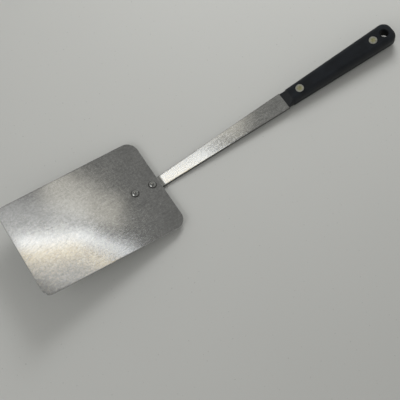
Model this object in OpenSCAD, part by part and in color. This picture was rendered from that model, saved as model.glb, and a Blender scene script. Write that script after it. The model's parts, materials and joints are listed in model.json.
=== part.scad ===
// Grill spatula: a sheet blade riveted to the tongue of a bent steel strip, with a
// two-piece handle riveted over the strip's tang. Millimetres, +Z up.
// It lies on a table as it does in use: on the underside of the bend and on the front
// end of the handle. The origin is on the table, under the middle of the whole length.

/* [Blade] */
// Width of the blade at the heel, where the shank joins it
blade_heel_w = 102; // [80:1:140]
// Width of the blade at its front edge
blade_tip_w = 98; // [70:1:140]
// Length of the blade, from the heel to the front edge
blade_len = 146; // [100:1:200]
// Thickness of the blade sheet
blade_t = 1.2; // [0.8:0.1:2]
// Radius of the two corners at the heel
heel_corner_r = 11.5; // [4:0.5:25]
// Radius of the two corners at the front edge
tip_corner_r = 7.5; // [3:0.5:25]

/* [Shank] */
// Thickness of the steel strip
strip_t = 3; // [2.5:0.1:4]
// Width of the strip at the bend and under the blade
strip_bend_w = 11.4; // [11:0.1:16]
// Width of the strip where it meets the handle
strip_handle_w = 18.5; // [14:0.1:22]
// Length of the bare strip, from the bend to the handle
shank_len = 140; // [90:1:200]
// Angle that the blade rises from the line of the shank, in degrees
blade_lift = 14.5; // [8:0.5:24]
// Inside radius of the bend
bend_r = 10; // [6:1:16]
// Distance from the bend to the heel of the blade
heel_gap = 3.7; // [3:0.1:12]
// Length of the tongue beyond the rear blade rivet
tongue_end = 8; // [6:0.5:12]

/* [Blade rivets] */
// Distance from the heel to the first blade rivet
blade_rivet_first = 7.5; // [6:0.5:12]
// Distance between the two blade rivets
blade_rivet_pitch = 19; // [14:0.5:30]
// Diameter of the domed heads
dome_d = 8.2; // [7:0.1:10]
// Height of the domed heads
dome_h = 2.6; // [1.5:0.1:3.5]
// Diameter of the rivets' stems
stem_d = 5; // [4:0.1:6]
// Diameter of the tails, closed under the tongue
tail_d = 8; // [7:0.1:9]
// Height of the tails
tail_h = 1.6; // [1:0.1:2]

/* [Handle] */
// Length of the handle
handle_len = 127; // [110:1:160]
// Width of the handle at its front end
handle_front_w = 15.7; // [14:0.1:20]
// Width of the handle at the butt
handle_butt_w = 22; // [20:0.1:30]
// Thickness of the handle, both scales together
handle_t = 13; // [12:0.5:18]
// Radius of the handle's long edges
handle_edge_r = 4; // [2:0.5:4]
// Radius of the two corners at the butt
butt_corner_r = 8.5; // [6:0.5:10]
// Length of the slope at the front of the handle
nose_len = 6.5; // [4:0.5:9]
// Width of the hidden tang
tang_w = 10.5; // [9:0.5:11]
// Length of the tang beyond the rear handle rivet
tang_end = 5; // [4.5:0.5:5]

/* [Handle rivets] */
// Distance from the handle's front end to the first rivet
handle_rivet_first = 18; // [14:0.5:24]
// Distance between the two handle rivets
handle_rivet_pitch = 86; // [70:1:86]
// Diameter of the flush heads
head_d = 8; // [7.5:0.1:8.4]
// Thickness of the flush heads
head_t = 1.5; // [1:0.1:2]
// Outside diameter of the sleeves
sleeve_d = 6; // [5.5:0.1:6.5]
// Diameter of the pins inside the sleeves
pin_d = 4.6; // [4:0.1:4.8]

/* [Hang hole] */
// Diameter of the hole for a hook
hang_hole_d = 8.5; // [6:0.5:9]
// Distance from the hole's centre to the end of the butt
hang_hole_inset = 9.7; // [9:0.1:11]
// Width of the chamfer round the hole's two mouths
hang_hole_chamfer = 0.6; // [0.3:0.1:1]

/* [Hidden] */
$fn = 96;
hull_fn = 32;
fit_gap = 0.05;     // radial room round each rivet
tang_gap = 0.15;    // room round the tang in its recess
end_gap = 0.4;      // room between a sleeve's end and the pin's head
slice = 0.05;       // thickness of the thin sections that a hull joins
corner_steps = 16;  // sides in each rounded corner of an outline, and in the bend
end_round = 0.9;    // radius of the tongue's and tang's ends, as a share of half their width
cut = 1;            // how far a cutter runs past a face

// The straight frame: X along the shank to the butt, Z = 0 on the strip's middle
// plane, X = 0 at the bend. The handle's places along X:
front_x = shank_len;
butt_x = front_x + handle_len;
handle_rivets_x = [front_x + handle_rivet_first,
                   front_x + handle_rivet_first + handle_rivet_pitch];
hang_x = butt_x - hang_hole_inset;

// The tongue frame is the straight frame turned by blade_lift about the bend, so the
// blade lies along -X in it.
blade_z = strip_t / 2;
heel_x = -heel_gap;
tip_x = heel_x - blade_len;
blade_rivets_x = [heel_x - blade_rivet_first,
                  heel_x - blade_rivet_first - blade_rivet_pitch];
tongue_x = blade_rivets_x[1] - tongue_end;

// The bend is an arc of the strip about a centre above it.
bend_mid_r = bend_r + strip_t / 2;
bend_tangent = bend_mid_r * tan(blade_lift / 2);
bend_out_r = bend_r + strip_t;

// Resting angle: the table touches the bend's outer arc and the lower front edge of
// the handle, seen from the side as a circle and a point.
edge_dx = front_x + nose_len - bend_tangent;
edge_dz = bend_mid_r + handle_t / 2;
edge_distance = norm([edge_dx, edge_dz]);
rest_tilt = atan(edge_dz / edge_dx) - asin(bend_out_r / edge_distance);

// Height and place of the straight frame over the table.
bend_height = bend_tangent * sin(rest_tilt) + bend_mid_r * cos(rest_tilt);
rest_z = bend_out_r - bend_height;
butt_end_x = (butt_x - handle_edge_r) * cos(rest_tilt)
    + (handle_t / 2 - handle_edge_r) * sin(rest_tilt) + handle_edge_r;
tip_end_x = tip_x * cos(blade_lift - rest_tilt) + blade_z * sin(blade_lift - rest_tilt);
rest_x = -(butt_end_x + tip_end_x) / 2;

STEEL = "silver";
RIVET = "gainsboro";
BLACK = "#1c1f22";
BRASS = "#8a8970";

// ---- frames ----

module straight_frame() translate([rest_x, 0, rest_z]) rotate([0, -rest_tilt, 0]) children();
module tongue_frame() straight_frame() rotate([0, blade_lift, 0]) children();

// ---- outlines ----

function unit(v) = v / norm(v);
function after(list, i) = list[(i + 1) % len(list)];
function before(list, i) = list[(i + len(list) - 1) % len(list)];
function heading(v) = atan2(v[1], v[0]);
function turn(from_deg, to_deg) = (to_deg - from_deg + 540) % 360 - 180;

// The points that round the corner p, between its neighbours a and b, to a radius.
function corner_arc(a, p, b, radius) =
    let (to_a = unit(a - p), to_b = unit(b - p),
         half = acos(to_a * to_b) / 2,
         centre = p + radius / sin(half) * unit(to_a + to_b),
         start = heading(p + radius / tan(half) * to_a - centre),
         sweep = turn(start, heading(p + radius / tan(half) * to_b - centre)))
    [for (k = [0:corner_steps])
        centre + radius * [cos(start + sweep * k / corner_steps),
                           sin(start + sweep * k / corner_steps)]];

// An outline with each corner rounded to its own radius, or left sharp where it is 0.
function rounded(points, radii) =
    [for (i = [0:len(points) - 1])
        each radii[i] > 0
            ? corner_arc(before(points, i), points[i], after(points, i), radii[i])
            : [points[i]]];

// The tang in plan, grown all round by an amount, from a given place to its round end.
function tang_plan(from_x, grow) =
    let (half_w = tang_w / 2 + grow,
         end_x = handle_rivets_x[1] + tang_end + grow)
    rounded([[from_x, half_w], [end_x, half_w], [end_x, -half_w], [from_x, -half_w]],
            [0, end_round * half_w, end_round * half_w, 0]);

// ---- blade ----

module blade() color(STEEL) tongue_frame() difference() {
    translate([0, 0, blade_z]) linear_extrude(blade_t) polygon(rounded(
        [[heel_x, blade_heel_w / 2], [tip_x, blade_tip_w / 2],
         [tip_x, -blade_tip_w / 2], [heel_x, -blade_heel_w / 2]],
        [heel_corner_r, tip_corner_r, tip_corner_r, heel_corner_r]));
    blade_rivet_holes();
}

module blade_rivet_holes()
    for (x = blade_rivets_x)
        translate([x, 0, -strip_t]) cylinder(d = stem_d + 2 * fit_gap, h = 2 * strip_t + blade_t);

// ---- shank: tongue, bend, bar and tang in one strip ----

// A line along the strip seen from the side, at a height over its middle plane.
function strip_line(height) = concat(
    [[tongue_x * cos(blade_lift) + height * sin(blade_lift),
      -tongue_x * sin(blade_lift) + height * cos(blade_lift)]],
    [for (k = [0:corner_steps])
        let (a = blade_lift * (1 - k / corner_steps), r = bend_mid_r - height)
        [bend_tangent - r * sin(a), bend_mid_r - r * cos(a)]],
    [[handle_rivets_x[1] + tang_end, height]]);

function reversed(list) = [for (i = [len(list) - 1:-1:0]) list[i]];

module strip_side() rotate([90, 0, 0]) translate([0, 0, -strip_handle_w])
    linear_extrude(2 * strip_handle_w)
        polygon(concat(strip_line(strip_t / 2), reversed(strip_line(-strip_t / 2))));

module strip_plan() translate([0, 0, -blade_len]) linear_extrude(2 * blade_len) {
    half_bend = strip_bend_w / 2;
    half_handle = strip_handle_w / 2;
    tongue_plan_x = tongue_x * cos(blade_lift);
    tongue_r = end_round * half_bend;
    polygon(rounded(
        [[0, -half_bend], [tongue_plan_x, -half_bend], [tongue_plan_x, half_bend],
         [0, half_bend], [front_x, half_handle], [front_x, -half_handle]],
        [0, tongue_r, tongue_r, 0, 0, 0]));
    polygon(tang_plan(front_x - cut, 0));
}

module shank() color(STEEL) difference() {
    straight_frame() intersection() {
        strip_side();
        strip_plan();
    }
    tongue_frame() blade_rivet_holes();
    straight_frame() for (x = handle_rivets_x)
        translate([x, 0, -strip_t]) cylinder(d = sleeve_d + 2 * fit_gap, h = 2 * strip_t);
}

// ---- blade rivets: domed head, stem and closed tail ----

module blade_rivet(x) {
    head_ball_r = (pow(dome_d / 2, 2) + pow(dome_h, 2)) / (2 * dome_h);
    tail_ball_r = (pow(tail_d / 2, 2) + pow(tail_h, 2)) / (2 * tail_h);
    tongue_frame() translate([x, 0, 0]) {
        translate([0, 0, blade_z + blade_t]) cap(head_ball_r, dome_h);
        translate([0, 0, -strip_t / 2]) cylinder(d = stem_d, h = strip_t + blade_t);
        translate([0, 0, -strip_t / 2]) mirror([0, 0, 1]) cap(tail_ball_r, tail_h);
    }
}

// The top of a ball, cut off flat at the given height below its crown.
module cap(ball_r, height) rotate_extrude() intersection() {
    translate([0, height - ball_r]) circle(ball_r);
    square([ball_r, height]);
}

module blade_rivet_front() color(RIVET) blade_rivet(blade_rivets_x[0]);
module blade_rivet_rear() color(RIVET) blade_rivet(blade_rivets_x[1]);

// ---- handle scales ----

function handle_w(x) = handle_front_w
    + (handle_butt_w - handle_front_w) * (x - front_x) / (handle_len - butt_corner_r);

// Upper half of the handle's cross-section, with its top corners rounded.
module half_section(width) {
    shoulder = handle_t / 2 - handle_edge_r;
    translate([-width / 2, 0]) square([width, shoulder]);
    for (side = [-1, 1]) translate([side * (width / 2 - handle_edge_r), shoulder])
        intersection() {
            circle(handle_edge_r);
            translate([-handle_edge_r, 0]) square([2 * handle_edge_r, handle_edge_r]);
        }
}

// One round corner of the butt: an upright wall, and a rounded edge over it.
module butt_corner() {
    shoulder = handle_t / 2 - handle_edge_r;
    cylinder(r = butt_corner_r, h = shoulder);
    translate([0, 0, shoulder]) rotate_extrude()
        translate([butt_corner_r - handle_edge_r, 0]) intersection() {
            circle(handle_edge_r);
            square(handle_edge_r);
        }
}

// Half the handle with no holes: a sloped nose, a flat top and a rounded butt.
module scale_blank() {
    nose_x = front_x + nose_len;
    hull() {
        translate([front_x, -handle_front_w / 2, 0]) cube([slice, handle_front_w, strip_t / 2]);
        translate([nose_x, 0, 0]) rotate([90, 0, 90])
            linear_extrude(slice) half_section(handle_w(nose_x), $fn = hull_fn);
        for (side = [-1, 1])
            translate([butt_x - butt_corner_r, side * (handle_butt_w / 2 - butt_corner_r), 0])
                butt_corner($fn = hull_fn);
    }
}

module scale() difference() {
    scale_blank();
    translate([0, 0, -cut]) linear_extrude(strip_t / 2 + cut)
        polygon(tang_plan(front_x - cut, tang_gap));
    for (x = handle_rivets_x) translate([x, 0, 0]) {
        translate([0, 0, -cut]) cylinder(d = sleeve_d + 2 * fit_gap, h = handle_t);
        translate([0, 0, handle_t / 2 - head_t]) cylinder(d = head_d + 2 * fit_gap, h = head_t + cut);
    }
    translate([hang_x, 0, -cut]) cylinder(d = hang_hole_d, h = handle_t);
    translate([hang_x, 0, handle_t / 2 - hang_hole_chamfer])
        cylinder(d1 = hang_hole_d, d2 = hang_hole_d + 4 * hang_hole_chamfer,
                 h = 2 * hang_hole_chamfer);
}

module handle_scale_top() color(BLACK) straight_frame() scale();
module handle_scale_bottom() color(BLACK) straight_frame() mirror([0, 0, 1]) scale();

// ---- handle rivets: a headed sleeve from above, and a headed pin from below ----

module handle_rivet_sleeve(x) straight_frame() translate([x, 0, 0]) difference() {
    union() {
        translate([0, 0, handle_t / 2 - head_t]) cylinder(d = head_d, h = head_t);
        translate([0, 0, -handle_t / 2 + head_t + end_gap])
            cylinder(d = sleeve_d, h = handle_t - head_t - end_gap - head_t / 2);
    }
    translate([0, 0, -handle_t]) cylinder(d = pin_d + 2 * fit_gap, h = 2 * handle_t);
}

module handle_rivet_pin(x) straight_frame() translate([x, 0, -handle_t / 2]) {
    cylinder(d = head_d, h = head_t);
    cylinder(d = pin_d, h = handle_t);
}

module handle_rivet_sleeve_front() color(RIVET) handle_rivet_sleeve(handle_rivets_x[0]);
module handle_rivet_sleeve_rear() color(RIVET) handle_rivet_sleeve(handle_rivets_x[1]);
module handle_rivet_pin_front() color(BRASS) handle_rivet_pin(handle_rivets_x[0]);
module handle_rivet_pin_rear() color(BRASS) handle_rivet_pin(handle_rivets_x[1]);

blade();
shank();
blade_rivet_front();
blade_rivet_rear();
handle_scale_top();
handle_scale_bottom();
handle_rivet_sleeve_front();
handle_rivet_sleeve_rear();
handle_rivet_pin_front();
handle_rivet_pin_rear();
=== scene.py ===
"""Grill spatula: a riveted blade, a bent strip and a two-part handle, dressed over the frame.

Each operator makes one piece, or a group of like pieces, as a closed mesh worked out with
numpy, gives it its finish and fixes it to the frame. Lengths are in metres. The shapes are
drawn in the straight frame: X along the strip to the butt, with 0 at the bend, and Z = 0 on
the strip's middle plane.
"""

import json
import math

import bmesh
import bpy
import numpy as np
from mathutils import Matrix, Vector


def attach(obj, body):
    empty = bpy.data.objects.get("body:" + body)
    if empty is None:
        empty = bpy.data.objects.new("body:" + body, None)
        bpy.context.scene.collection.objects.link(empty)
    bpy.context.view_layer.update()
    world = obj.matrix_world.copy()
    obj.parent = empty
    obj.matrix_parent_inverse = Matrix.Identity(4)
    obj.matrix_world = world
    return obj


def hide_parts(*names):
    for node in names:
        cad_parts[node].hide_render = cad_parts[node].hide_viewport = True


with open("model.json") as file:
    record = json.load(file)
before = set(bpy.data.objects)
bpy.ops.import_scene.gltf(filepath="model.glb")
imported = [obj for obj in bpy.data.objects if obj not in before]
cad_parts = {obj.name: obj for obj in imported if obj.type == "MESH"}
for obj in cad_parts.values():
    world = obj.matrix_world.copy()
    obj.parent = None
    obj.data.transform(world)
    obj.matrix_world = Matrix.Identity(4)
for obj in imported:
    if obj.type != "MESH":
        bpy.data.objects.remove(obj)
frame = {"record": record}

bl_info = {
    "name": "Grill Spatula",
    "version": (1, 0, 0),
    "blender": (4, 5, 0),
    "location": "3D View > Sidebar > Spatula",
    "description": "Builds a grill spatula over its frame: blade, shank, rivets and handle",
    "category": "Object",
}

MM = 0.001
ARC = 10             # steps in each round corner of an outline
EDGE_STEPS = 4       # steps in each rounded edge
TURNED_STEPS = 96    # steps round each rivet
DOME_POINTS = 14     # points from the crown of a dome to its rim
SHARP = math.radians(38)
MIX_A, MIX_B, MIX_OUT = 6, 7, 2    # the colour sockets of a Mix node
END_GAP, MARK_GAP = 0.05 * MM, 0.03 * MM    # rows closer to an end or a mark are left out
END_ROUND = 0.9      # radius of the strip's ends, as a share of half its width
FLECK = 2.2 * MM     # size of the flecks in rolled steel
SCUFF_TURN = math.radians(24)      # the way that most of the scuffs run
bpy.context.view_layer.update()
HANG_MOUNT = next(m for m in frame["record"]["mounts"] if m["name"] == "hang_hole")


# ---- sizes, colours and light that a user would change ----

def linear(hex_colour):
    """An sRGB hex colour as linear red, green and blue."""
    steps = [int(hex_colour[i:i + 2], 16) / 255 for i in (1, 3, 5)]
    return tuple(c / 12.92 if c <= 0.04045 else ((c + 0.055) / 1.055) ** 2.4 for c in steps)


def length(name, default_mm, description):
    """A length, given in millimetres and kept in metres."""
    return bpy.props.FloatProperty(name=name, default=default_mm * MM, min=0, precision=5,
                                   unit="LENGTH", description=description)


def angle(name, degrees, description):
    """An angle, given in degrees and kept in radians."""
    return bpy.props.FloatProperty(name=name, default=math.radians(degrees),
                                   subtype="ANGLE", description=description)


def colour(name, hex_colour, description):
    """A colour, given as sRGB hex and kept linear."""
    return bpy.props.FloatVectorProperty(name=name, default=linear(hex_colour), size=3,
                                         subtype="COLOR", min=0, max=1,
                                         description=description)


def number(name, default, description):
    """A plain number of zero or more."""
    return bpy.props.FloatProperty(name=name, default=default, min=0, description=description)


class SPATULA_PG_blade(bpy.types.PropertyGroup):
    heel_width: length("Heel width", 102, "Width of the blade at the heel")
    tip_width: length("Tip width", 98, "Width of the blade at its front edge")
    long: length("Length", 146, "Heel to front edge")
    thickness: length("Thickness", 1.2, "Thickness of the sheet")
    heel_corner: length("Heel corners", 11.5, "Radius of the corners at the heel")
    tip_corner: length("Tip corners", 7.5, "Radius of the corners at the front edge")
    edge: length("Edge", 0.3, "Rounding left on the sheared edge")
    bow: length("Bow", 0.35, "How far rolling has left the sheet out of flat")


class SPATULA_PG_shank(bpy.types.PropertyGroup):
    thickness: length("Thickness", 3, "Thickness of the strip")
    bend_width: length("Width at the bend", 11.4, "Width at the bend and under the blade")
    handle_width: length("Width at the handle", 18.5, "Width where the handle starts")
    long: length("Bare length", 140, "Bend to handle")
    lift: angle("Lift", 14.5, "Angle from the line of the strip up to the blade")
    bend_radius: length("Bend radius", 10, "Inside radius of the bend")
    heel_gap: length("Heel gap", 3.7, "Bend to the heel of the blade")
    tongue_end: length("Tongue end", 8, "Tongue beyond the rear blade rivet")
    tang_width: length("Tang width", 10.5, "Width of the strip inside the handle")
    tang_end: length("Tang end", 5, "Tang beyond the rear handle rivet")
    edge: length("Edge", 0.45, "Rounding of the strip's long edges")


class SPATULA_PG_blade_rivets(bpy.types.PropertyGroup):
    first: length("First", 7.5, "Heel to the first rivet")
    pitch: length("Pitch", 19, "Distance between the two rivets")
    dome_width: length("Head", 8.2, "Diameter of the domed heads")
    dome_height: length("Head height", 2.6, "Height of the domed heads")
    stem: length("Stem", 5, "Diameter of the stems")
    tail_width: length("Tail", 8, "Diameter of the closed tails")
    tail_height: length("Tail height", 1.6, "Height of the closed tails")
    room: length("Room", 0.05, "Room round a rivet in its hole")


class SPATULA_PG_handle(bpy.types.PropertyGroup):
    long: length("Length", 127, "Front to butt")
    front_width: length("Front width", 15.7, "Width at the front")
    butt_width: length("Butt width", 22, "Width at the butt")
    thickness: length("Thickness", 13, "Both halves together")
    edge: length("Edge", 4, "Radius of the long edges")
    butt_corner: length("Butt corners", 8.5, "Radius of the corners at the butt")
    nose: length("Nose", 6.5, "Length of the slope at the front")
    hang_hole: length("Hang hole", 8.5, "Diameter of the hole for a hook")
    hang_inset: length("Hang hole inset", 9.7, "Centre of the hang hole to the butt")
    hang_chamfer: length("Hang hole chamfer", 0.6, "Width of the chamfer at its mouths")


class SPATULA_PG_handle_rivets(bpy.types.PropertyGroup):
    first: length("First", 18, "Front of the handle to the first rivet")
    pitch: length("Pitch", 86, "Distance between the two rivets")
    head_width: length("Head", 8, "Diameter of the flush heads")
    head_thickness: length("Head thickness", 1.5, "Thickness of the flush heads")
    sleeve: length("Sleeve", 6, "Outside diameter of the sleeves")
    pin: length("Pin", 4.6, "Diameter of the pins in the sleeves")
    room: length("Room", 0.05, "Room round a rivet in its hole")


class SPATULA_PG_finish(bpy.types.PropertyGroup):
    blade_steel: colour("Blade steel", "#C3C4C3", "Rolled stainless sheet")
    shank_steel: colour("Shank steel", "#D1D2D0", "Rolled stainless strip")
    rivet_steel: colour("Rivet steel", "#A2A3A1", "Headed stainless wire")
    plastic: colour("Plastic", "#0C1015", "Moulded handle")
    nickel: colour("Nickel silver", "#DADACE", "Rivet sleeves")
    brass: colour("Dull brass", "#D6D4AA", "Rivet pins")
    table: colour("Table", "#C8C9C6", "Painted board under the object")


class SPATULA_PG_studio(bpy.types.PropertyGroup):
    look_x: bpy.props.FloatProperty(name="Target X", default=-0.04175, unit="LENGTH",
                                    description="Where the camera's axis meets the table")
    look_y: bpy.props.FloatProperty(name="Target Y", default=-0.03628, unit="LENGTH",
                                    description="Where the camera's axis meets the table")
    distance: length("Distance", 806.4, "Camera to target")
    azimuth: angle("Azimuth", -19.15, "Camera's direction round the target, from -Y")
    elevation: angle("Elevation", 68.68, "Camera's direction over the table")
    roll: angle("Roll", 14.75, "Turn of the camera about its own axis")
    lens: number("Lens", 77.57, "Focal length in millimetres, on a 36 mm sensor")
    panel: number("Panel", 0.55, "Brightness of the panel that the blade's front mirrors")
    band: number("Band", 1.7, "Brightness of the lamps that make the blade's bright band")
    rim: number("Rim", 2.1, "Brightness of the warm lamps along the band")
    glow: number("Glow", 0.6, "Brightness of the warm lamp that the blade's middle mirrors")
    side: number("Side panel", 0.5, "Brightness of the panel beside the band")
    glint: number("Glint", 9.0, "Brightness of the lamp that the domes mirror")
    key: number("Key", 8.1, "Brightness of the softbox that casts the shadow")
    fill: number("Fill", 0.85, "Brightness of the softbox on the far side of the blade")
    walls: number("Walls", 0.56, "Brightness of the room's walls")
    low: number("Low walls", 0.45, "Brightness of the walls near the table")
    ceiling: number("Ceiling", 0.25, "Brightness of the room's ceiling")


GROUPS = {
    "spatula_blade": SPATULA_PG_blade,
    "spatula_shank": SPATULA_PG_shank,
    "spatula_blade_rivets": SPATULA_PG_blade_rivets,
    "spatula_handle": SPATULA_PG_handle,
    "spatula_handle_rivets": SPATULA_PG_handle_rivets,
    "spatula_finish": SPATULA_PG_finish,
    "spatula_studio": SPATULA_PG_studio,
}


# ---- frames ----

def to_row(points):
    """Straight frame to row frame.

    The points turn about Y by the angle of the hang hole's axis, and move so that the hang
    hole's centre comes to its recorded place.
    """
    handle, shank = bpy.context.scene.spatula_handle, bpy.context.scene.spatula_shank
    across, _, up = HANG_MOUNT["axis"]
    turn = np.array([[up, 0, across], [0, 1, 0], [-across, 0, up]])
    hang = np.array([shank.long + handle.long - handle.hang_inset, 0, 0])
    return (points - hang) @ turn.T + np.array(HANG_MOUNT["pos_m"])


def tongue_to_straight(points):
    """Turns points about the bend by the lift: x cos + z sin, and z cos - x sin."""
    lift = bpy.context.scene.spatula_shank.lift
    x, y, z = points.T
    return np.stack([x * math.cos(lift) + z * math.sin(lift), y,
                     z * math.cos(lift) - x * math.sin(lift)], 1)


def bent(points):
    """Bends a straight strip's points at x = 0.

    A point ahead of the bend stays. In the bend it goes to the arc of radius R - z, at the
    angle that its distance along the middle plane gives. Past it, it goes on along the
    tangent line.
    """
    shank = bpy.context.scene.spatula_shank
    middle = shank.bend_radius + shank.thickness / 2
    start = middle * math.tan(shank.lift / 2)
    along, y, height = points.T
    turn = np.clip((start - along) / middle, 0, shank.lift)
    past = np.minimum(along - start + shank.lift * middle, 0) + np.maximum(along - start, 0)
    return np.stack([start - (middle - height) * np.sin(turn) + past * np.cos(turn), y,
                     middle - (middle - height) * np.cos(turn) - past * np.sin(turn)], 1)


# ---- surfaces ----

def narrowed(x, half, lo, hi, lo_radius, hi_radius):
    """Half the width of a bar with round corners at lo and hi.

    Within r of an end, at a distance d, it is less by r - sqrt(r^2 - (r - d)^2).
    """
    for d, r in ((x - lo, lo_radius), (hi - x, hi_radius)):
        d = np.clip(d, 0, r)
        half = half - (r - np.sqrt(np.maximum(r ** 2 - (r - d) ** 2, 0)))
    return half


def corner_marks(end, radius):
    """Places along X that turn a round corner in even steps: end + r (1 - cos a)."""
    return end + radius * (1 - np.cos(np.linspace(0, math.pi / 2, ARC + 1)))


def stations(lo, hi, step, *marks):
    """Places along X from lo to hi, at most a step apart, that take in all the marks."""
    fixed = np.sort(np.concatenate([np.atleast_1d(m) for m in marks]))
    fixed = fixed[(fixed > lo + END_GAP) & (fixed < hi - END_GAP)]
    fixed = np.concatenate([[lo], fixed, [hi]])
    fixed = fixed[np.append(True, np.diff(fixed) > MARK_GAP)]
    parts = np.maximum(np.ceil(np.diff(fixed) / step - 1e-6), 1).astype(int)
    spans = zip(fixed[:-1], fixed[1:], parts)
    return np.append(np.concatenate([np.linspace(a, b, n, endpoint=False)
                                     for a, b, n in spans]), fixed[-1])


def plate(x, y, top, base, top_edge, base_edge, holes=()):
    """Points and faces of a closed solid over a plan.

    Row i of the plan's grid lies at x[i], and its columns at y[i, :]. The face is
    z = top(x, y). From its outline the rim runs out along the outline's normal as a quarter
    circle of radius top_edge, straight down, and in as a quarter circle of radius base_edge
    to the underside z = base(x, y). top_edge is one radius, or one for each row. Each hole
    is (centre, steps), with steps of (radius, depth under the face). Rings blend the cells'
    square into the first circle, follow the steps down to the underside, and blend out into
    its square.
    """
    rows, cols = y.shape
    grid = np.arange(rows * cols).reshape(rows, cols)
    under = grid + rows * cols
    plan = np.stack([np.broadcast_to(x[:, None], y.shape), y], 2).reshape(-1, 2)

    def around(g):
        """The outline of a block of the grid, anticlockwise seen from above."""
        return np.concatenate([g[:-1, 0], g[-1, :-1], g[:0:-1, -1], g[0, :0:-1]])

    def cells(g):
        """The four corners of each cell, anticlockwise seen from above."""
        return np.stack([g[:-1, :-1], g[1:, :-1], g[1:, 1:], g[:-1, 1:]], 2)

    def band(upper, lower):
        """The faces between two rings, which face out when the upper one is outside."""
        return np.stack([upper, lower, np.roll(lower, -1), np.roll(upper, -1)], 1)

    rim = around(grid)
    step = np.roll(plan[rim], -1, 0) - plan[rim]
    after = np.stack([step[:, 1], -step[:, 0]], 1) / np.linalg.norm(step, axis=1)[:, None]
    before = np.roll(after, 1, 0)
    out = (after + before) / (1 + (after * before).sum(1, keepdims=True))
    edge = np.broadcast_to(np.reshape(top_edge, (-1, 1)), y.shape).reshape(-1)[rim]

    base_plan = plan.copy()
    base_plan[rim] += out * (edge - base_edge)[:, None]
    points = [np.column_stack([plan, top(*plan.T)]),
              np.column_stack([base_plan, base(*plan.T)])]
    count = 2 * rows * cols
    faces = []

    turn = np.linspace(0, math.pi / 2, EDGE_STEPS + 1)[1:, None]
    reach = np.concatenate([edge * np.sin(turn), edge - base_edge * (1 - np.sin(turn[::-1]))])
    height = np.concatenate([points[0][rim, 2] - edge * (1 - np.cos(turn)),
                             points[1][rim, 2] + base_edge * (1 - np.cos(turn[::-1]))])
    rings = plan[rim] + out * reach[:, :, None]
    points.append(np.dstack([rings, height]).reshape(-1, 3))
    chain = [rim, *(count + np.arange(height.size).reshape(height.shape)), around(under)]
    count += height.size
    faces += [band(a, b) for a, b in zip(chain[:-1], chain[1:])]

    kept = np.ones((rows - 1, cols - 1), bool)
    for centre, steps in holes:
        first_radius = steps[0][0]
        reach = hole_reach(first_radius)
        lo, hi = (int(np.abs(x - centre - side * reach).argmin()) for side in (-1, 1))
        away = np.hypot(x[lo:hi + 1, None] - centre, y[lo:hi + 1])
        clear = (away > 1.03 * first_radius).all(0)
        left = int(np.argmin(clear)) - 1
        block = np.s_[lo:hi + 1, left:cols - left]
        kept[lo:hi, left:cols - 1 - left] = False
        square = plan[around(grid[block])]
        bearing = np.arctan2(square[:, 1], square[:, 0] - centre)
        ray = np.stack([np.cos(bearing), np.sin(bearing)], 1)
        middle = np.array([centre, 0])

        def ring(radius, surface, depth, blend=0.0, corner=None):
            """A circle, or a blend of it with the block's outline, laid on a surface."""
            flat = middle + ray * radius
            if corner is not None:
                flat = flat * (1 - blend) + corner * blend
            return np.column_stack([flat, surface(*flat.T) - depth])

        last_radius = steps[-1][0]
        base_square = base_plan[around(grid[block])]
        hole = [ring(first_radius, top, 0, blend, square) for blend in (0.6, 0.25)]
        hole += [ring(radius, top, depth) for radius, depth in steps]
        hole += [ring(last_radius, base, 0)]
        hole += [ring(last_radius, base, 0, blend, base_square) for blend in (0.25, 0.6)]
        points += hole
        size = len(bearing)
        chain = [around(grid[block]), *(count + np.arange(len(hole) * size).reshape(-1, size)),
                 around(under[block])]
        count += len(hole) * size
        faces += [band(a, b)[:, ::-1] for a, b in zip(chain[:-1], chain[1:])]

    faces += [cells(grid)[kept], cells(under)[kept][:, ::-1]]
    faces = np.concatenate(faces)
    used, faces = np.unique(faces, return_inverse=True)
    return np.concatenate(points)[used], faces.reshape(-1, 4)


def across(half, columns):
    """A plan's columns: even steps from -half to half in each row."""
    return half[:, None] * np.linspace(-1, 1, columns)


def at_height(z):
    """A level surface, as a function over a plan."""
    return lambda x, y: z + 0 * x


def hole_reach(radius):
    """Half the length of the block of cells that a hole takes the place of."""
    return radius * 1.12 + 0.3 * MM


def hole_marks(centre, radius, parts=8):
    """The rows that a plan needs round a hole."""
    return centre + hole_reach(radius) * np.linspace(-1, 1, parts + 1)


def eased(corners):
    """A profile through (radius, height, easing) corners.

    Each corner p with an easing e becomes a curve from e before it to e after it, by the
    quadratic (1-t)^2 a + 2t(1-t) p + t^2 b.
    """
    line = []
    t = np.linspace(0, 1, EDGE_STEPS + 1)[:, None]
    for i, (r, z, ease) in enumerate(corners):
        here = np.array([r, z])
        if ease == 0:
            line.append(here[None])
            continue
        ahead = np.array(corners[(i + 1) % len(corners)][:2]) - here
        behind = np.array(corners[i - 1][:2]) - here
        a = here + ease * behind / np.linalg.norm(behind)
        b = here + ease * ahead / np.linalg.norm(ahead)
        line.append((1 - t) ** 2 * a + 2 * t * (1 - t) * here + t ** 2 * b)
    return np.concatenate(line)


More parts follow.
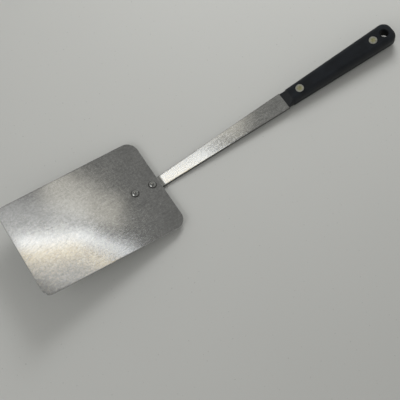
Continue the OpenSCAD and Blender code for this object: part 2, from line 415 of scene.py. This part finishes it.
def turned(profile, centre_x, ring_closed=False):
    """Points and faces of a profile turned about an upright axis at centre_x.

    A profile that starts and ends on the axis gets one point at each pole. A ring's
    profile closes on itself instead. It runs outwards over the top, and in underneath.
    """
    bearing = np.linspace(0, 2 * math.pi, TURNED_STEPS, endpoint=False)
    radius, height = profile.T
    points = np.stack([centre_x + radius[:, None] * np.cos(bearing),
                       radius[:, None] * np.sin(bearing),
                       np.broadcast_to(height[:, None], (len(height), TURNED_STEPS))], 2)
    points = points.reshape(-1, 3)
    grid = np.arange(len(points)).reshape(-1, TURNED_STEPS)
    near = grid if ring_closed else grid[:-1]
    far = np.roll(grid, -1, 0) if ring_closed else grid[1:]
    faces = np.stack([near, far, np.roll(far, -1, 1), np.roll(near, -1, 1)], 2)
    if ring_closed:
        return points, faces.reshape(-1, 4).tolist()
    top, bottom = grid[0, 0], grid[-1, 0]
    faces = (np.stack([np.full(TURNED_STEPS, top), *faces[0, :, 1:3].T], 1).tolist()
             + faces[1:-1].reshape(-1, 4).tolist()
             + np.stack([faces[-1, :, 0], np.full(TURNED_STEPS, bottom),
                         faces[-1, :, 3]], 1).tolist())
    return points, faces


def cap(width, height):
    """A ball's cap from its crown to its rim: (R sin a, h - R (1 - cos a))."""
    ball = ((width / 2) ** 2 + height ** 2) / (2 * height)
    a = np.linspace(0, math.asin(width / 2 / ball), DOME_POINTS)
    return np.stack([ball * np.sin(a), height - ball * (1 - np.cos(a))], 1)


def solid(name, points, faces):
    """A mesh of points and faces, without the points that no face uses."""
    mesh = bpy.data.meshes.new(name)
    mesh.from_pydata(points.tolist(), [], faces if isinstance(faces, list) else faces.tolist())
    work = bmesh.new()
    work.from_mesh(mesh)
    bmesh.ops.delete(work, geom=[v for v in work.verts if not v.link_faces], context="VERTS")
    work.to_mesh(mesh)
    work.free()
    if mesh.validate():
        raise RuntimeError(f"{name} has broken faces")
    return mesh


def hollowed(mesh, pocket):
    """A mesh less the volume of another."""
    pair = [bpy.data.objects.new(m.name, m) for m in (mesh, pocket)]
    for item in pair:
        bpy.context.scene.collection.objects.link(item)
    cut = pair[0].modifiers.new("Pocket", "BOOLEAN")
    cut.object, cut.solver = pair[1], "MANIFOLD"
    bpy.context.view_layer.update()
    whole = pair[0].evaluated_get(bpy.context.evaluated_depsgraph_get())
    result = bpy.data.meshes.new_from_object(whole)
    for item in pair:
        bpy.data.objects.remove(item)
    if not result.polygons or len(result.vertices) == len(mesh.vertices):
        raise RuntimeError(f"{mesh.name} could not be hollowed")
    return result


def finish_piece(name, mesh, material, slot, *nodes):
    """Shades a mesh, puts it into a named object and fixes it to the frame."""
    mesh.polygons.foreach_set("use_smooth", np.ones(len(mesh.polygons), bool))
    mesh.set_sharp_from_angle(angle=SHARP)
    mesh.materials.clear()
    mesh.materials.append(material)
    mesh.name = name
    piece = bpy.data.objects.new(name, mesh)
    bpy.context.scene.collection.objects.link(piece)
    even = piece.modifiers.new("Even shading", "WEIGHTED_NORMAL")
    even.keep_sharp = True
    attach(piece, "root")
    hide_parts(*nodes)


# ---- finishes ----

def new_material(name):
    """An empty node material, its node tree and its shader."""
    material = bpy.data.materials.new(name)
    material.use_nodes = True
    tree = material.node_tree
    return material, tree, tree.nodes["Principled BSDF"]


def set_inputs(tree, node, inputs):
    """Sets a node's inputs by name or number, or links those given a socket."""
    for key, value in inputs.items():
        if isinstance(value, bpy.types.NodeSocket):
            tree.links.new(value, node.inputs[key])
        else:
            node.inputs[key].default_value = value
    return node


def add(tree, kind, inputs=None, **settings):
    """Adds a node with its settings, and its inputs set or linked."""
    node = tree.nodes.new(kind)
    for key, value in settings.items():
        setattr(node, key, value)
    return set_inputs(tree, node, inputs or {})


# In the calls below a Map Range node's inputs are 0, the value, 1 and 2, the range that it
# comes from, and 3 and 4, the range that it goes to. A range that isn't given is 0 to 1. A
# Mapping node of the TEXTURE kind turns a pattern and stretches it to sizes in metres along
# its own axes.

def steel(name, tint, grain, smudge, scratch, contrast, roughness, bump=0.006 * MM,
          pitch=0.0):
    """Stainless steel, rolled and then handled: a metal's mirror, broken by its surface.

    grain is the (length, width) of the roller's lines, smudge the size of the hand marks
    and scratch the (length, width) of the scuffs, all in metres. contrast is the darkest
    and the lightest part of the tint, roughness its range, bump the height of the lines,
    and pitch the slope of the piece. Real roller lines are about 0.05 mm wide, and flecks
    0.2 mm: both are drawn as coarse as they need to be to show.
    """
    material, tree, shader = new_material(name)
    place = add(tree, "ShaderNodeTexCoord").outputs["Object"]
    rolled, dragged = (
        add(tree, "ShaderNodeMapping",
            {"Vector": place, "Rotation": (0, pitch, spin), "Scale": (long, wide, wide)},
            vector_type="TEXTURE").outputs[0]
        for spin, (long, wide) in ((0, grain), (SCUFF_TURN, scratch)))
    lines, cloud, fleck, scuff = (
        add(tree, "ShaderNodeTexNoise", {"Vector": vector, "Scale": scale, "Detail": detail,
                                         "Roughness": rough}).outputs["Fac"]
        for vector, scale, detail, rough in (
            (rolled, 1.0, 3.0, 0.6), (place, 1 / smudge, 4.0, 0.55),
            (place, 1 / FLECK, 3.0, 0.65), (dragged, 1.0, 1.0, 0.4)))
    scuffed = add(tree, "ShaderNodeMapRange", {0: scuff, 1: 0.66, 2: 0.72}).outputs[0]
    mottle = add(tree, "ShaderNodeMath", {0: cloud, 1: lines}, operation="ADD").outputs[0]
    mottle = add(tree, "ShaderNodeMath", {0: fleck, 1: 2.0, 2: mottle},
                 operation="MULTIPLY_ADD").outputs[0]
    share = add(tree, "ShaderNodeMapRange", {0: mottle, 1: 1.6, 2: 2.4}).outputs[0]
    dim, bright = [[min(c * k, 1) for c in tint] for k in contrast]
    base = add(tree, "ShaderNodeMix", {0: share, MIX_A: (*dim, 1), MIX_B: (*bright, 1)},
               data_type="RGBA")
    dull = add(tree, "ShaderNodeMapRange",
               {0: share, 3: roughness[0], 4: roughness[1]}).outputs[0]
    worn = add(tree, "ShaderNodeMath", {0: scuffed, 1: 0.08, 2: dull},
               operation="MULTIPLY_ADD").outputs[0]
    height = add(tree, "ShaderNodeMath", {0: scuffed, 1: -0.6, 2: lines},
                 operation="MULTIPLY_ADD").outputs[0]
    relief = add(tree, "ShaderNodeBump", {"Height": height, "Distance": bump})
    set_inputs(tree, shader, {"Base Color": base.outputs[MIX_OUT], "Roughness": worn,
                              "Metallic": 1.0, "Normal": relief.outputs[0]})
    return material


def darken(material, untarnished_and_unshaded):
    """Paints shade: turns a finish's colour towards near black as the mask falls from 1 to 0.
    """
    tree = material.node_tree
    shader = tree.nodes["Principled BSDF"]
    tint = shader.inputs["Base Color"].links[0].from_socket
    # near black, the colour of the painted shade
    mixed = add(tree, "ShaderNodeMix",
                {0: untarnished_and_unshaded, MIX_A: (*linear("#1D1C1A"), 1), MIX_B: tint}, data_type="RGBA")
    set_inputs(tree, shader, {"Base Color": mixed.outputs[MIX_OUT]})


def moulded_nylon(tint):
    """Glass-filled nylon, injection moulded in a spark-eroded tool.

    It gives a fine even stipple, so its shine is soft and low, and it is slightly greyer
    and duller where hands have dried it. The real stipple is about 0.1 mm: it is drawn
    three times as coarse, to show.
    """
    material, tree, shader = new_material("Glass-filled nylon, spark-eroded texture")
    place = add(tree, "ShaderNodeTexCoord").outputs["Object"]
    stipple = add(tree, "ShaderNodeTexNoise",
                  {"Vector": place, "Scale": 1 / (0.35 * MM), "Detail": 2.0,
                   "Roughness": 0.6}).outputs["Fac"]
    wear = add(tree, "ShaderNodeTexNoise",
               {"Vector": place, "Scale": 1 / (11 * MM), "Detail": 4.0,
                "Roughness": 0.6}).outputs["Fac"]
    dried = add(tree, "ShaderNodeMapRange", {0: wear, 1: 0.4, 2: 0.68}).outputs[0]
    base = add(tree, "ShaderNodeMix",
               {0: dried, MIX_A: (*tint, 1), MIX_B: (*[c * 1.7 + 0.002 for c in tint], 1)},
               data_type="RGBA")
    dull = add(tree, "ShaderNodeMapRange",
               {0: wear, 1: 0.35, 2: 0.65, 3: 0.46, 4: 0.58}).outputs[0]
    relief = add(tree, "ShaderNodeBump", {"Height": stipple, "Distance": 0.02 * MM})
    set_inputs(tree, shader, {"Base Color": base.outputs[MIX_OUT], "Roughness": dull,
                              "IOR": 1.53, "Specular IOR Level": 0.35,
                              "Normal": relief.outputs[0]})
    return material


def faced_metal(name, tint, roughness):
    """A soft alloy, set and then ground flush: close scratches one way, dulled by use.

    The real scratches are about 0.05 mm wide: they are drawn three times as coarse.
    """
    material, tree, shader = new_material(name)
    place = add(tree, "ShaderNodeTexCoord").outputs["Object"]
    stroked = add(tree, "ShaderNodeMapping",
                  {"Vector": place, "Rotation": (0, 0, math.radians(35)),
                   "Scale": (3 * MM, 0.16 * MM, 0.16 * MM)}, vector_type="TEXTURE")
    ground = add(tree, "ShaderNodeTexNoise",
                 {"Vector": stroked.outputs[0], "Scale": 1.0, "Detail": 2.0,
                  "Roughness": 0.6}).outputs["Fac"]
    tarnish = add(tree, "ShaderNodeTexNoise",
                  {"Vector": place, "Scale": 1 / (1.8 * MM), "Detail": 3.0,
                   "Roughness": 0.6}).outputs["Fac"]
    untarnished_and_unshaded = add(tree, "ShaderNodeMapRange", {0: tarnish, 1: 0.35, 2: 0.6}).outputs[0]
    base = add(tree, "ShaderNodeMix",
               {0: untarnished_and_unshaded, MIX_A: (*[c * 0.7 for c in tint], 1), MIX_B: (*tint, 1)},
               data_type="RGBA")
    dull = add(tree, "ShaderNodeMapRange",
               {0: ground, 1: 0.3, 2: 0.7, 3: roughness[0], 4: roughness[1]}).outputs[0]
    relief = add(tree, "ShaderNodeBump", {"Height": ground, "Distance": 0.012 * MM})
    set_inputs(tree, shader, {"Base Color": base.outputs[MIX_OUT], "Roughness": dull,
                              "Metallic": 1.0, "Normal": relief.outputs[0]})
    return material


def painted_board(tint):
    """Matt paint on a board, rolled on: faint orange peel, a slight cloud, a few specks."""
    material, tree, shader = new_material("Matt paint, rolled on a board")
    place = add(tree, "ShaderNodeTexCoord").outputs["Object"]
    cloud = add(tree, "ShaderNodeTexNoise",
                {"Vector": place, "Scale": 1 / (180 * MM), "Detail": 2.0}).outputs["Fac"]
    speck = add(tree, "ShaderNodeTexNoise",
                {"Vector": place, "Scale": 1 / (2.2 * MM), "Detail": 1.0,
                 "Roughness": 0.4}).outputs["Fac"]
    peel = add(tree, "ShaderNodeTexNoise",
               {"Vector": place, "Scale": 1 / (1.5 * MM), "Detail": 2.0}).outputs["Fac"]
    base = add(tree, "ShaderNodeMix",
               {0: cloud, MIX_A: (*[c * 0.96 for c in tint], 1), MIX_B: (*tint, 1)},
               data_type="RGBA")
    specked = add(tree, "ShaderNodeMapRange",
                  {0: speck, 1: 0.73, 2: 0.79, 4: 0.35}).outputs[0]
    marked = add(tree, "ShaderNodeMix",
                 {0: specked, MIX_A: base.outputs[MIX_OUT],
                  MIX_B: (*[c * 0.5 for c in tint], 1)}, data_type="RGBA")
    relief = add(tree, "ShaderNodeBump", {"Height": peel, "Distance": 0.02 * MM})
    set_inputs(tree, shader, {"Base Color": marked.outputs[MIX_OUT], "Roughness": 0.75,
                              "Normal": relief.outputs[0]})
    return material


# ---- pieces ----

def blade_rivet_places():
    """The blade rivets' places along the tongue."""
    shank, rivets = bpy.context.scene.spatula_shank, bpy.context.scene.spatula_blade_rivets
    heel = -shank.heel_gap
    return [heel - rivets.first, heel - rivets.first - rivets.pitch]


def handle_rivet_places():
    """The handle rivets' places along the strip."""
    shank, rivets = bpy.context.scene.spatula_shank, bpy.context.scene.spatula_handle_rivets
    return [shank.long + rivets.first, shank.long + rivets.first + rivets.pitch]


class SPATULA_OT_blade(bpy.types.Operator):
    """Makes the blade: a rolled sheet with round corners and eased edges"""
    bl_idname = "spatula.blade"
    bl_label = "Blade"

    def execute(self, context):
        blade, shank = context.scene.spatula_blade, context.scene.spatula_shank
        rivets, finish = context.scene.spatula_blade_rivets, context.scene.spatula_finish
        e = blade.edge
        heel, tip = -shank.heel_gap, -shank.heel_gap - blade.long
        lo, hi = tip + e, heel - e
        hole = rivets.stem / 2 + rivets.room
        places = blade_rivet_places()
        x = stations(lo, hi, 1.3 * MM, corner_marks(lo, blade.tip_corner - e),
                     hi + lo - corner_marks(lo, blade.heel_corner - e),
                     *(hole_marks(p, hole, parts=6) for p in places))
        taper = np.interp(x, [tip, heel], [blade.tip_width / 2, blade.heel_width / 2]) - e
        half = narrowed(x, taper, lo, hi, blade.tip_corner - e, blade.heel_corner - e)
        y = across(half, columns=81)
        low, tongue = shank.thickness / 2, places[1] - shank.tongue_end
        seat, fade = 6 * MM, 30 * MM    # flat on the tongue, and free this far off it

        def sag(px, py):
            """Out of flat by a shallow saddle and a long ripple, fading out at the tongue."""
            u = (px - tip) / blade.long
            v = py / (blade.heel_width / 2)
            off = np.hypot(np.maximum(tongue - px, 0), np.maximum(np.abs(py) - seat, 0))
            far = np.clip(off / fade, 0, 1)
            curve = 0.8 * v ** 2 - 0.9 * (1 - u) ** 2 + 0.25 * np.sin(5 * u + 3.2 * v)
            return blade.bow * far ** 2 * (3 - 2 * far) * curve

        points, faces = plate(x, y, lambda px, py: low + blade.thickness + sag(px, py),
                              lambda px, py: low + sag(px, py), e, e,
                              [(p, [(hole, 0)]) for p in places])
        strip_pitch = math.atan2(HANG_MOUNT["axis"][0], HANG_MOUNT["axis"][2])
        material = steel("Stainless steel, rolled sheet with a satin face",
                         finish.blade_steel, grain=(14 * MM, 0.8 * MM), smudge=22 * MM,
                         scratch=(14 * MM, 0.5 * MM), contrast=(0.82, 1.12),
                         roughness=(0.11, 0.15), pitch=shank.lift + strip_pitch)
        mesh = solid("blade_sheet", to_row(tongue_to_straight(points)), faces)
        finish_piece("blade_sheet", mesh, material, "blade_steel", "blade")
        return {"FINISHED"}


class SPATULA_OT_shank(bpy.types.Operator):
    """Makes the strip: tongue, bend, widening bar, shoulders and the tang in the handle"""
    bl_idname = "spatula.shank"
    bl_label = "Shank"

    def execute(self, context):
        shank, finish = context.scene.spatula_shank, context.scene.spatula_finish
        blade_rivets = context.scene.spatula_blade_rivets
        handle_rivets = context.scene.spatula_handle_rivets
        small = blade_rivets.stem / 2 + blade_rivets.room
        large = handle_rivets.sleeve / 2 + handle_rivets.room
        holes = ([(p, small) for p in blade_rivet_places()]
                 + [(p, large) for p in handle_rivet_places()])
        e = shank.edge
        lo, hi = holes[1][0] - shank.tongue_end + e, holes[-1][0] + shank.tang_end - e
        tongue_r = END_ROUND * shank.bend_width / 2 - e
        tang_r = END_ROUND * shank.tang_width / 2 - e
        bend = np.linspace(-2, 2, 17) * MM    # close rows all through the bend
        front, shoulder = shank.long - e, 0.1 * MM
        x = stations(lo, hi, 2 * MM, corner_marks(lo, tongue_r),
                     hi + lo - corner_marks(lo, tang_r), bend, [front, front + shoulder],
                     *(hole_marks(*hole) for hole in holes))
        half = np.interp(x, [0, shank.long], [shank.bend_width / 2, shank.handle_width / 2])
        half = np.where(x > front + shoulder / 2, shank.tang_width / 2, half) - e
        half = narrowed(x, half, lo, hi, tongue_r, tang_r)
        y = across(half, columns=17)
        thick = shank.thickness / 2
        points, faces = plate(x, y, at_height(thick), at_height(-thick), e, e,
                              [(p, [(r, 0)]) for p, r in holes])
        material = steel("Stainless steel, rolled strip with a semi-bright face",
                         finish.shank_steel, grain=(16 * MM, 0.8 * MM), smudge=9 * MM,
                         scratch=(10 * MM, 0.4 * MM), contrast=(0.82, 1.08),
                         roughness=(0.12, 0.18))
        # painted shade on the strip's side faces, for their dark reflection and contact shadow
        self.shear(material)
        mesh = solid("bent_strip", to_row(bent(points)), faces)
        finish_piece("bent_strip", mesh, material, "shank_steel", "shank")
        return {"FINISHED"}

    def shear(self, material):
        """Paints shade on the faces that look sideways: a dark line along each edge of the
        strip.
        """
        tree = material.node_tree
        normal = add(tree, "ShaderNodeNewGeometry").outputs["Normal"]
        side = add(tree, "ShaderNodeSeparateXYZ", {0: normal}).outputs["Y"]
        side = add(tree, "ShaderNodeMath", {0: side}, operation="ABSOLUTE").outputs[0]
        # faces that look sideways are mixed three quarters of the way to the painted shade
        darken(material, add(tree, "ShaderNodeMapRange",
                             {0: side, 1: 0.25, 2: 0.75, 3: 1.0, 4: 0.25}).outputs[0])


class SPATULA_OT_blade_rivets(bpy.types.Operator):
    """Makes the two blade rivets: domed head, stem and closed tail"""
    bl_idname = "spatula.blade_rivets"
    bl_label = "Blade rivets"

    def execute(self, context):
        rivets, shank = context.scene.spatula_blade_rivets, context.scene.spatula_shank
        blade, finish = context.scene.spatula_blade, context.scene.spatula_finish
        face, foot = shank.thickness / 2 + blade.thickness, -shank.thickness / 2
        stem = rivets.stem / 2
        head = cap(rivets.dome_width, rivets.dome_height)
        tail = cap(rivets.tail_width, rivets.tail_height)
        profile = np.concatenate([head + [0, face], [[stem, face], [stem, foot]],
                                  (tail * [1, -1] + [0, foot])[::-1]])
        material = steel("Stainless steel, cold-headed and polished", finish.rivet_steel,
                         grain=(0.8 * MM, 0.5 * MM), smudge=2.5 * MM,
                         scratch=(1.5 * MM, 0.3 * MM), contrast=(0.85, 1.12),
                         roughness=(0.08, 0.12), bump=0.012 * MM)
        # painted shade round the foot of each dome, where it meets the blade
        self.paint_foot_shade(material, face)
        for where, place in zip(("front", "rear"), blade_rivet_places()):
            points, faces = turned(profile, place)
            name = f"domed_rivet_{where}"
            mesh = solid(name, to_row(tongue_to_straight(points)), faces)
            finish_piece(name, mesh, material, "blade_rivets", f"blade_rivet_{where}")
        return {"FINISHED"}

    def paint_foot_shade(self, material, face):
        """Paints shade on the domes towards their foot, where they meet the blade."""
        origin, above, foot = to_row(tongue_to_straight(np.array(
            [[0, 0, 0], [0, 0, 1], [0, 0, face]], float)))
        up, reach = above - origin, 1.75 * MM
        tree = material.node_tree
        place = add(tree, "ShaderNodeTexCoord").outputs["Object"]
        height = add(tree, "ShaderNodeVectorMath", {0: place, 1: tuple(up)},
                     operation="DOT_PRODUCT").outputs["Value"]
        off = add(tree, "ShaderNodeMath", {0: height, 1: float(foot @ up)},
                  operation="SUBTRACT").outputs[0]
        off = add(tree, "ShaderNodeMath", {0: off}, operation="ABSOLUTE").outputs[0]
        # within reach of the foot the dome is painted darker: painted shade
        darken(material, add(tree, "ShaderNodeMapRange",
                             {0: off, 1: 0.2 * reach, 2: reach}).outputs[0])


class SPATULA_OT_handle(bpy.types.Operator):
    """Makes the two halves of the handle, each hollowed for the tang and the rivets"""
    bl_idname = "spatula.handle"
    bl_label = "Handle"

    def execute(self, context):
        handle, shank = context.scene.spatula_handle, context.scene.spatula_shank
        rivets, finish = context.scene.spatula_handle_rivets, context.scene.spatula_finish
        front, butt = shank.long, shank.long + handle.long
        nose, full = front + handle.nose, handle.thickness / 2
        foot, foot_edge = shank.thickness / 2 + 0.15 * MM, 0.5 * MM
        seam, lip = 0.15 * MM, 0.1 * MM    # easing where the halves meet, and at the seats

        def edge_at(x):
            """The edge's radius, which grows over the nose."""
            return np.interp(x, [front, nose], [foot_edge, handle.edge])

        def top(px, py):
            """Flat, with a straight slope at the nose and a rounded crest between them."""
            slope = (full - foot) / handle.nose
            drop = np.maximum(nose - px, 0) * slope
            crest = 1.2 * MM
            near = np.clip((px - nose) / crest + 0.5, 0, 1)
            return full - drop - 0.25 * slope * crest * near * (1 - near)

        seat, hole = rivets.head_width / 2 + rivets.room, rivets.sleeve / 2 + rivets.room
        hang, mouth = handle.hang_hole / 2, handle.hang_hole / 2 + handle.hang_chamfer
        hang_x = butt - handle.hang_inset
        places = handle_rivet_places()
        lo, hi, corner = front + foot_edge, butt - handle.edge, handle.butt_corner - handle.edge
        x = stations(lo, hi, 2 * MM, hi + lo - corner_marks(lo, corner),
                     nose + np.linspace(-0.6, 0.6, 7) * MM,
                     *(hole_marks(p, seat + lip) for p in places),
                     hole_marks(hang_x, mouth, parts=10))
        width = np.interp(x, [front, butt - handle.butt_corner],
                          [handle.front_width, handle.butt_width])
        half = narrowed(x, width / 2 - edge_at(x), lo, hi, 0, corner)
        y = across(half, columns=25)
        seat_steps = [(seat + lip, 0), (seat, lip), (seat, rivets.head_thickness),
                      (hole, rivets.head_thickness)]
        hang_steps = [(mouth, 0), (hang, handle.hang_chamfer)]
        points, faces = plate(x, y, top, at_height(0), edge_at(x), seam,
                              [(p, seat_steps) for p in places] + [(hang_x, hang_steps)])
        material = moulded_nylon(finish.plastic)
        for where, side in (("top", 1), ("bottom", -1)):
            shell = solid("shell", to_row(points * [1, 1, side]), faces[:, ::side])
            finish_piece(f"handle_half_{where}", hollowed(shell, self.pocket(side)), material,
                         "handle_plastic", f"handle_scale_{where}")
        return {"FINISHED"}

    def pocket(self, side):
        """The room for the tang in one half, which is a little larger all round."""
        shank = bpy.context.scene.spatula_shank
        room, play, past, sharp = 0.15 * MM, 0.02 * MM, 2 * MM, 0.01 * MM
        half = shank.tang_width / 2 + room
        start = shank.long - past
        end = handle_rivet_places()[1] + shank.tang_end + room
        x = stations(start, end, 4 * MM, start + end - corner_marks(start, END_ROUND * half))
        y = across(narrowed(x, half, start, end, 0, END_ROUND * half), columns=3)
        points, faces = plate(x, y, at_height(shank.thickness / 2 + play), at_height(-past),
                              sharp, sharp)
        return solid("pocket", to_row(points * [1, 1, side]), faces[:, ::side])


class SPATULA_OT_handle_rivets(bpy.types.Operator):
    """Makes the handle rivets: a headed sleeve and a headed pin in each place"""
    bl_idname = "spatula.handle_rivets"
    bl_label = "Handle rivets"

    def execute(self, context):
        rivets, handle = context.scene.spatula_handle_rivets, context.scene.spatula_handle
        finish = context.scene.spatula_finish
        top, head, thick = handle.thickness / 2, rivets.head_width / 2, rivets.head_thickness
        sleeve, pin, bore = rivets.sleeve / 2, rivets.pin / 2, rivets.pin / 2 + rivets.room
        ease, gap = 0.16 * MM, 0.4 * MM
        low = thick - top + gap    # the sleeve ends a little above the pin's head
        ring = eased([(bore, top, ease), (head, top, ease), (head, top - thick, 0),
                      (sleeve, top - thick, 0), (sleeve, low, 0), (bore, low, 0)])
        bar = eased([(0, top - 0.06 * MM, 0), (pin * 0.6, top - 0.05 * MM, 0.3 * MM),
                     (pin, top - 0.01 * MM, ease), (pin, thick - top, 0),
                     (head, thick - top, 0), (head, -top, ease), (0, -top, 0)])
        nickel = faced_metal("Nickel silver, ground flush", finish.nickel, (0.45, 0.6))
        brass = faced_metal("Brass, ground flush and tarnished", finish.brass, (0.48, 0.64))
        for where, place in zip(("front", "rear"), handle_rivet_places()):
            for part, profile, metal in (("sleeve", ring, nickel), ("pin", bar, brass)):
                points, faces = turned(profile, place, ring_closed=part == "sleeve")
                finish_piece(f"rivet_{part}_{where}", solid(part, to_row(points), faces),
                             metal, f"handle_rivet_{part}s", f"handle_rivet_{part}_{where}")
        return {"FINISHED"}


class SPATULA_OT_stage(bpy.types.Operator):
    """Makes the stage: painted board, soft light and camera"""
    bl_idname = "spatula.stage"
    bl_label = "Stage"

    def execute(self, context):
        studio, finish = context.scene.spatula_studio, context.scene.spatula_finish
        board = bpy.data.meshes.new("board")
        wide = 8.0    # half the board's width, so that its edge stays far off
        board.from_pydata([(-wide, -wide, 0), (wide, -wide, 0), (wide, wide, 0),
                           (-wide, wide, 0)], [], [(0, 1, 2, 3)])
        board.materials.append(painted_board(finish.table))
        table = bpy.data.objects.new("board", board)
        context.scene.collection.objects.link(table)
        self.room(context, studio)
        for name, place, *rest in self.overhead(studio):
            self.softbox(name, place, (*place[:2], 0), *rest)
        for name, place, *rest in (
                ("fill", (-0.95, -0.10, 0.85), (1.0, 1.0), studio.fill),
                ("glint", (-0.58, -0.22, 0.56), (0.14, 0.08), studio.glint),
                ("key", (0.44, 0.42, 0.55), (0.36, 0.36), studio.key)):
            lamp = self.softbox(name, place, (0, 0, 0), *rest)
            lamp.visible_glossy = name != "key"    # the steel doesn't mirror the key
        self.camera(context, studio)
        return {"FINISHED"}

    def overhead(self, studio):
        """The lamps that look straight down, which the blade and the strip mirror.

        Each has its name, place, size, brightness, turn in degrees and tint. Some overlap,
        so their heights differ a little.
        """
        cool, warm, gold = "#F8FBFF", "#FFF9EA", "#FFDD8C"
        return (
            ("panel", (-0.032, 0.126, 0.40), (0.13, 0.05), studio.panel, -35),
            ("band_low", (0.042, 0.133, 0.41), (0.095, 0.022), studio.band, -47, cool),
            ("band_high", (-0.036, 0.172, 0.41), (0.09, 0.018), studio.band, -14, cool),
            ("rim_low", (0.022, 0.124, 0.42), (0.08, 0.006), studio.rim, -50, gold),
            ("rim_high", (-0.040, 0.157, 0.42), (0.08, 0.008), studio.rim, -14, gold),
            ("glow", (0.060, 0.222, 0.43), (0.12, 0.05), studio.glow, -46, warm),
            ("side_panel", (-0.015, 0.215, 0.44), (0.15, 0.08), studio.side, -20))

    def room(self, context, studio):
        """A plain room: walls dim near the table, pale above it, and a dim ceiling.

        A height is the Z of a direction of unit length.
        """
        world = bpy.data.worlds.new("Room")
        world.use_nodes = True
        tree = world.node_tree
        shader = tree.nodes["Background"]
        where = add(tree, "ShaderNodeTexCoord").outputs["Generated"]
        height = add(tree, "ShaderNodeSeparateXYZ", {0: where}).outputs["Z"]
        walls = add(tree, "ShaderNodeMapRange",
                    {0: height, 1: 0.2, 2: 0.5, 3: studio.low, 4: studio.walls}).outputs[0]
        level = add(tree, "ShaderNodeMapRange",
                    {0: height, 1: 0.55, 2: 0.75, 3: walls, 4: studio.ceiling}).outputs[0]
        set_inputs(tree, shader, {"Color": (*linear("#F5F4F0"), 1), "Strength": level})
        context.scene.world = world
        context.scene.view_settings.view_transform = "Standard"

    def softbox(self, name, place, target, size, brightness, spin=0, tint="#FFFFFF"):
        """A flat lamp that faces its target, as bright as asked from every side."""
        lamp = bpy.data.lights.new(name, "AREA")
        lamp.shape, (lamp.size, lamp.size_y) = "RECTANGLE", size
        lamp.energy = brightness * math.pi * size[0] * size[1]
        lamp.color = linear(tint)
        holder = bpy.data.objects.new(name, lamp)
        facing = (Vector(place) - Vector(target)).to_track_quat("Z", "Y").to_matrix()
        turn = Matrix.Rotation(math.radians(spin), 3, "Z")
        holder.matrix_world = Matrix.Translation(place) @ (facing @ turn).to_4x4()
        holder.visible_camera = False
        bpy.context.scene.collection.objects.link(holder)
        return holder

    def camera(self, context, studio):
        """A camera on a sphere about its target, turned about its own axis."""
        data = bpy.data.cameras.new("camera")
        data.sensor_width, data.lens = 36.0, studio.lens
        data.clip_start, data.clip_end = 0.01, 20.0
        camera = bpy.data.objects.new("camera", data)
        az, el = studio.azimuth, studio.elevation
        back = Vector((math.sin(az) * math.cos(el), -math.cos(az) * math.cos(el),
                       math.sin(el)))
        level = Vector((math.cos(az), math.sin(az), 0))
        right = level * math.cos(studio.roll) - back.cross(level) * math.sin(studio.roll)
        turn = Matrix((right, back.cross(right), back)).transposed()
        place = Vector((studio.look_x, studio.look_y, 0)) + back * studio.distance
        camera.matrix_world = Matrix.Translation(place) @ turn.to_4x4()
        context.scene.collection.objects.link(camera)
        context.scene.camera = camera


class SPATULA_PT_panel(bpy.types.Panel):
    """The sidebar panel: one button for each operator, and the sizes under it"""
    bl_idname = "SPATULA_PT_panel"
    bl_label = "Grill spatula"
    bl_space_type = "VIEW_3D"
    bl_region_type = "UI"
    bl_category = "Spatula"

    def draw(self, context):
        for operator in OPERATORS:
            self.layout.operator(operator.bl_idname)
        for name, group in GROUPS.items():
            box = self.layout.box()
            box.label(text=name.replace("_", " ").capitalize())
            for key in group.__annotations__:
                box.prop(getattr(context.scene, name), key)


OPERATORS = (SPATULA_OT_blade, SPATULA_OT_shank, SPATULA_OT_blade_rivets, SPATULA_OT_handle,
             SPATULA_OT_handle_rivets, SPATULA_OT_stage)


def register():
    for item in (*GROUPS.values(), *OPERATORS, SPATULA_PT_panel):
        bpy.utils.register_class(item)
    for name, group in GROUPS.items():
        setattr(bpy.types.Scene, name, bpy.props.PointerProperty(type=group))


def unregister():
    for name in GROUPS:
        delattr(bpy.types.Scene, name)
    for item in (SPATULA_PT_panel, *reversed(OPERATORS), *reversed(GROUPS.values())):
        bpy.utils.unregister_class(item)


def main():
    register()
    bpy.ops.spatula.blade()
    bpy.ops.spatula.shank()
    bpy.ops.spatula.blade_rivets()
    bpy.ops.spatula.handle()
    bpy.ops.spatula.handle_rivets()
    bpy.ops.spatula.stage()


if __name__ == "__main__":
    main()
